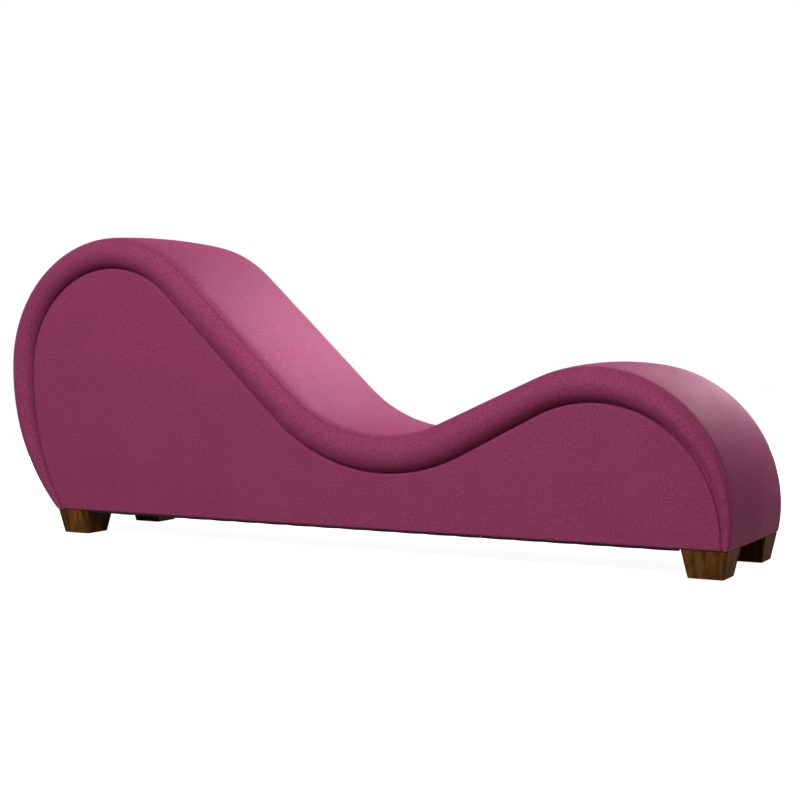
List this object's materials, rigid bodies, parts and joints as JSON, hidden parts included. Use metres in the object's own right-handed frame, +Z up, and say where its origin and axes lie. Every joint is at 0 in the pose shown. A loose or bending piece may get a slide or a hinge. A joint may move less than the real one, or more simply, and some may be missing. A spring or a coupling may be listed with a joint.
{
  "type": "chaise longue",
  "caption": "Serpentine upholstered chaise longue: a thick pad with rolled edges runs over a high head hump, a low seat and a toe hump, on short tapered wooden feet.",
  "frame": {"origin": "on the floor, under the centre of the overall box", "axes": "+X from the head end to the toe end, +Y to the left of a person who lies with the head at the head end, +Z up"},
  "size_m": [1.8339, 0.42, 0.7239],
  "materials": {
    "upholstery": "soft matte velour",
    "foam": "open-cell foam",
    "wadding": "loose fibre wadding",
    "plywood": "unfinished plywood",
    "softwood": "planed softwood",
    "stained_wood": "satin brown stain",
    "glide": "smooth black",
    "dust_cloth": "thin black non-woven cloth"
  },
  "bodies": {
    "root": {"base_rail_head": "softwood", "base_rail_middle": "softwood", "base_rail_toe": "softwood", "corner_block_head_left": "softwood", "corner_block_head_right": "softwood", "corner_block_toe_left": "softwood", "corner_block_toe_right": "softwood", "cross_batten_01": "softwood", "cross_batten_02": "softwood", "cross_batten_03": "softwood", "cross_batten_04": "softwood", "cross_batten_05": "softwood", "cross_batten_06": "softwood", "cross_batten_07": "softwood", "cross_batten_08": "softwood", "cross_batten_09": "softwood", "cross_batten_10": "softwood", "cross_batten_11": "softwood", "cross_batten_12": "softwood", "cross_batten_13": "softwood", "dust_cover": "dust_cloth", "foot_head_left": "stained_wood", "foot_head_right": "stained_wood", "foot_toe_left": "stained_wood", "foot_toe_right": "stained_wood", "glide_head_left": "glide", "glide_head_right": "glide", "glide_toe_left": "glide", "glide_toe_right": "glide", "pad_boxing_left": "upholstery", "pad_boxing_right": "upholstery", "pad_foam": "foam", "pad_top_panel": "upholstery", "seat_deck": "plywood", "side_board_left": "plywood", "side_board_right": "plywood", "side_cover_left": "upholstery", "side_cover_right": "upholstery", "side_padding_left": "wadding", "side_padding_right": "wadding"}
  },
  "joints": []
}
